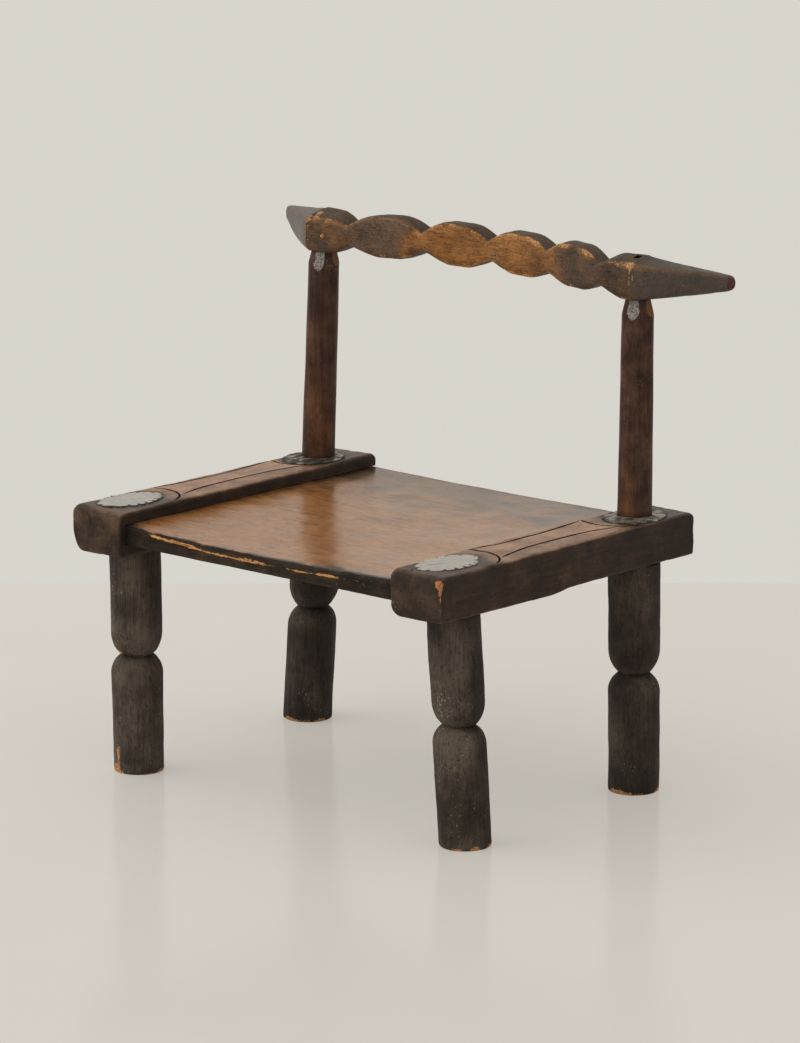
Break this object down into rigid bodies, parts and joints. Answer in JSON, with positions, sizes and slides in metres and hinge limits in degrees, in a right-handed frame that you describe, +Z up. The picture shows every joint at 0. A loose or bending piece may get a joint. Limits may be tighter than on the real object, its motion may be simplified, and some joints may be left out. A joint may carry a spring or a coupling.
{
  "type": "carved wooden chair",
  "caption": "Low carved wooden chair: beaded legs, side rails with a dished seat board between them, two posts and a bowed scalloped crest rail with swept horns.",
  "frame": {"origin": "on the floor, under the middle of the chair's bounding box", "axes": "+X to the right when facing the chair, -Y towards the front, +Z up"},
  "size_m": [0.6128, 0.4, 0.5638],
  "materials": {
    "rail_wood": "dark stained, worn",
    "seat_wood": "polished by use",
    "leg_wood": "dark stained, scuffed",
    "post_wood": "dark reddish stain",
    "crest_wood": "stain rubbed through to tan wood",
    "peg_wood": "bare",
    "pin_wood": "dark",
    "sheet_metal": "dull grey"
  },
  "bodies": {
    "root": {"left_rail": "rail_wood", "right_rail": "rail_wood", "seat_board": "seat_wood", "leg_front_left": "leg_wood", "leg_front_right": "leg_wood", "leg_rear_left": "leg_wood", "leg_rear_right": "leg_wood", "post_left": "post_wood", "post_right": "post_wood", "crest_rail": "crest_wood", "crest_peg_left": "peg_wood", "crest_pin_right": "pin_wood", "cap_left": "sheet_metal", "cap_right": "sheet_metal", "collar_left": "sheet_metal", "collar_right": "sheet_metal"}
  },
  "joints": []
}
